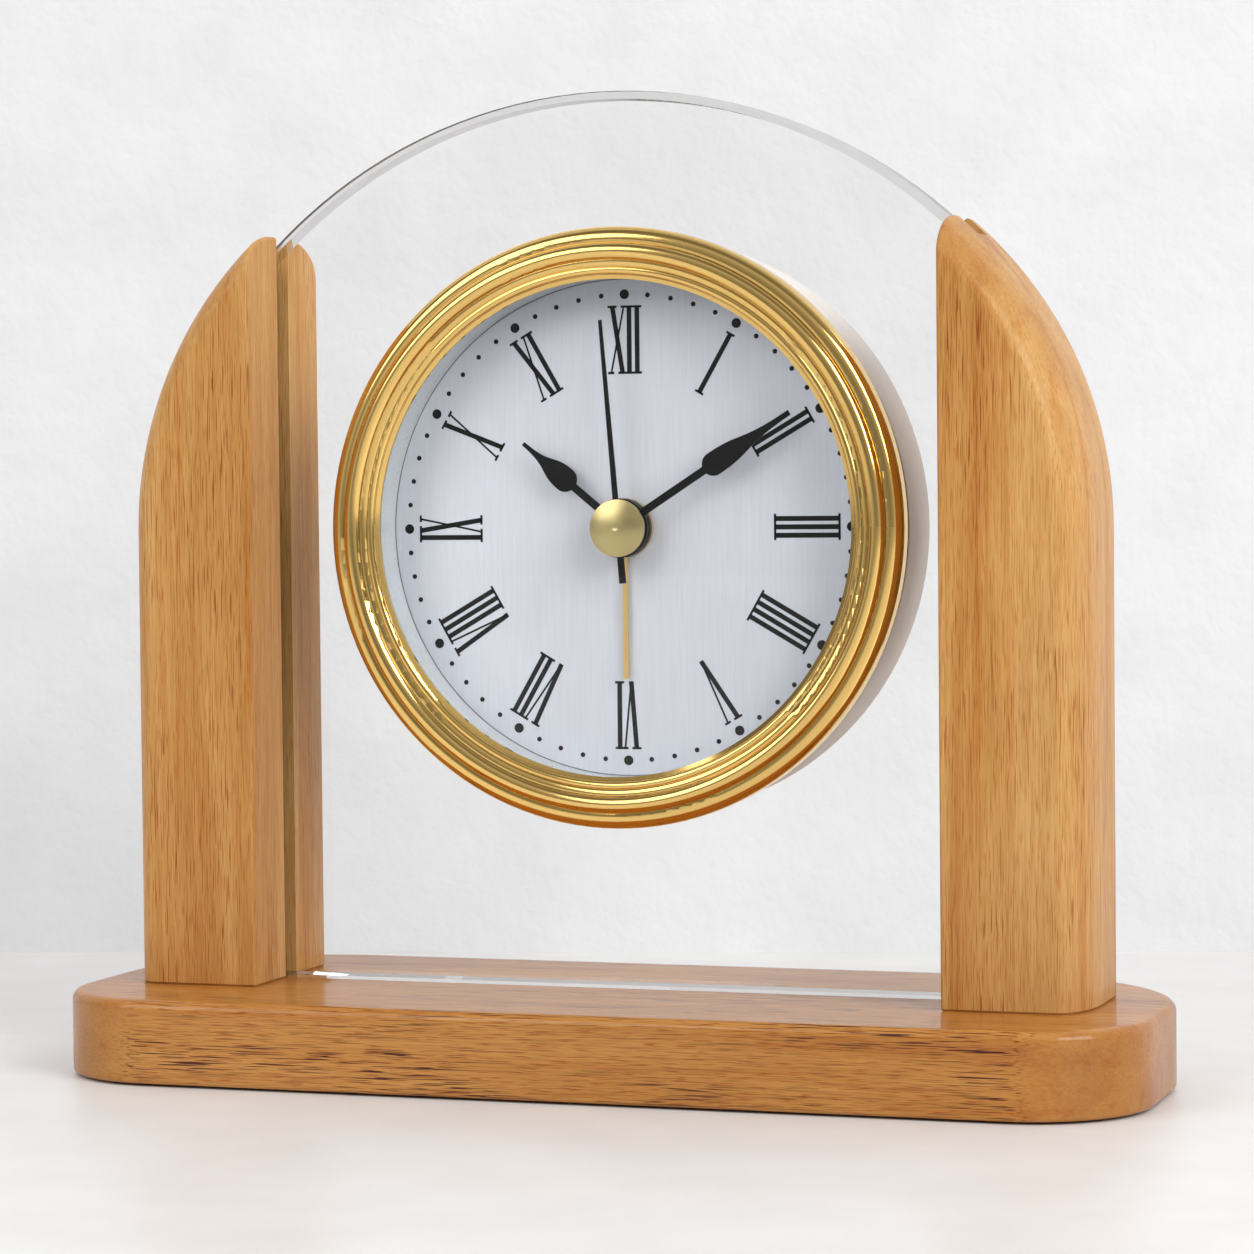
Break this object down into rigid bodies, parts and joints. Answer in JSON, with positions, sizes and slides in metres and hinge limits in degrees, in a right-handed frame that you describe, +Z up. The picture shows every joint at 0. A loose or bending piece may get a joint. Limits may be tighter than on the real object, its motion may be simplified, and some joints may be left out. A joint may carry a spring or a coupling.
{
  "type": "desk clock",
  "caption": "Wooden desk clock: rounded base, curved pillars and an arched glass panel that carries a brass-rimmed alarm clock with a silver Roman dial.",
  "frame": {"origin": "on the table under the middle of the base, at the bottom of the felt pads", "axes": "+X to the right seen from the front, +Y to the back, +Z up"},
  "size_m": [0.168, 0.0644, 0.149],
  "materials": {
    "wood": "satin lacquer over a mid-brown open grain",
    "panel_glass": "clear float glass with polished bevelled edges",
    "felt": "dark felt",
    "zinc_screw": "zinc plated",
    "gold_brass": "polished gold brass",
    "lens_clear": "clear mineral lens",
    "reflector_grey": "satin silver grey",
    "dial_silver": "silver, finely brushed, printed in black",
    "case_grey": "pale warm grey, fine texture",
    "gasket_rubber": "translucent pale rubber",
    "hand_black": "black enamel",
    "knob_black": "satin black",
    "bridge_black": "moulded black",
    "gear_white": "natural acetal",
    "spring_steel": "bright spring steel",
    "coil_copper": "enamelled copper wire",
    "rotor_magnet": "ground magnet steel",
    "board_green": "green solder mask",
    "crystal_can": "bright can",
    "battery_wrap": "plain dark wrap",
    "buzzer_brass": "plain disc"
  },
  "bodies": {
    "stand": {"base": "wood", "pillar_left": "wood", "pillar_right": "wood", "glass_panel": "panel_glass", "felt_pads": "felt", "pillar_screws": "zinc_screw", "bezel": "gold_brass", "lens": "lens_clear", "reflector_ring": "reflector_grey", "dial": "dial_silver", "front_case": "case_grey", "front_gasket": "gasket_rubber", "rear_gasket": "gasket_rubber", "rear_case": "case_grey", "case_screws": "zinc_screw", "battery": "battery_wrap", "battery_contacts": "spring_steel", "buzzer": "buzzer_brass", "gear_bridge": "bridge_black", "bridge_screws": "zinc_screw", "circuit_board": "board_green", "quartz_crystal": "crystal_can", "coil": "coil_copper", "stator": "spring_steel"},
    "seconds": {"second_hand": "hand_black", "centre_cap": "gold_brass", "second_wheel": "gear_white"},
    "minutes": {"minute_hand": "hand_black", "minute_pipe": "gear_white", "clutch_spring": "spring_steel"},
    "hours": {"hour_hand": "hand_black", "hour_wheel": "gear_white"},
    "alarm_setting": {"alarm_hand": "gold_brass", "alarm_wheel": "gear_white"},
    "third": {"third_wheel": "gear_white"},
    "centre": {"centre_wheel": "gear_white"},
    "step": {"step_wheel": "gear_white"},
    "motor_rotor": {"rotor": "rotor_magnet"},
    "time_setter": {"motion_wheel": "gear_white", "time_knob": "knob_black"},
    "alarm_setter": {"alarm_knob": "knob_black"},
    "switch": {"alarm_switch": "knob_black"},
    "cover": {"battery_cover": "case_grey"}
  },
  "joints": [
    {"name": "seconds_turn", "type": "hinge", "parent": "stand", "child": "seconds", "pos_m": [0, 0.01, 0.083], "axis": [0, 1, 0], "continuous": true},
    {"name": "third_turn", "type": "hinge", "parent": "stand", "child": "third", "pos_m": [-0.00779, 0.01, 0.0875], "axis": [0, 1, 0], "continuous": true},
    {"name": "centre_turn", "type": "hinge", "parent": "stand", "child": "centre", "pos_m": [0, 0.01, 0.083], "axis": [0, 1, 0], "continuous": true},
    {"name": "step_turn", "type": "hinge", "parent": "stand", "child": "step", "pos_m": [0, 0.01, 0.092], "axis": [0, 1, 0], "continuous": true},
    {"name": "rotor_turn", "type": "hinge", "parent": "stand", "child": "motor_rotor", "pos_m": [0, 0.01, 0.0988], "axis": [0, 1, 0], "continuous": true},
    {"name": "minutes_turn", "type": "hinge", "parent": "stand", "child": "minutes", "pos_m": [0, 0.01, 0.083], "axis": [0, 1, 0], "continuous": true},
    {"name": "hours_turn", "type": "hinge", "parent": "stand", "child": "hours", "pos_m": [0, 0.01, 0.083], "axis": [0, 1, 0], "continuous": true},
    {"name": "time_knob_turn", "type": "hinge", "parent": "stand", "child": "time_setter", "pos_m": [0.0094, 0.01, 0.08642], "axis": [0, 1, 0], "continuous": true},
    {"name": "alarm_turn", "type": "hinge", "parent": "stand", "child": "alarm_setting", "pos_m": [0, 0.01, 0.083], "axis": [0, 1, 0], "continuous": true},
    {"name": "alarm_knob_turn", "type": "hinge", "parent": "stand", "child": "alarm_setter", "pos_m": [-0.00383, 0.01, 0.07248], "axis": [0, 1, 0], "continuous": true},
    {"name": "switch_slide", "type": "slide", "parent": "stand", "child": "switch", "axis": [1, 0, 0], "range_m": [0, 0.004]},
    {"name": "cover_lift", "type": "slide", "parent": "stand", "child": "cover", "axis": [0, 1, 0], "range_m": [0, 0.015]}
  ],
  "couplings": [
    {"joint": "third_turn", "follows": "seconds_turn", "ratio": -0.13333},
    {"joint": "centre_turn", "follows": "seconds_turn", "ratio": 0.016667},
    {"joint": "step_turn", "follows": "seconds_turn", "ratio": -4},
    {"joint": "rotor_turn", "follows": "seconds_turn", "ratio": 30},
    {"joint": "hours_turn", "follows": "minutes_turn", "ratio": 0.083333},
    {"joint": "time_knob_turn", "follows": "minutes_turn", "ratio": -0.33333},
    {"joint": "alarm_knob_turn", "follows": "alarm_turn", "ratio": -2.5}
  ]
}
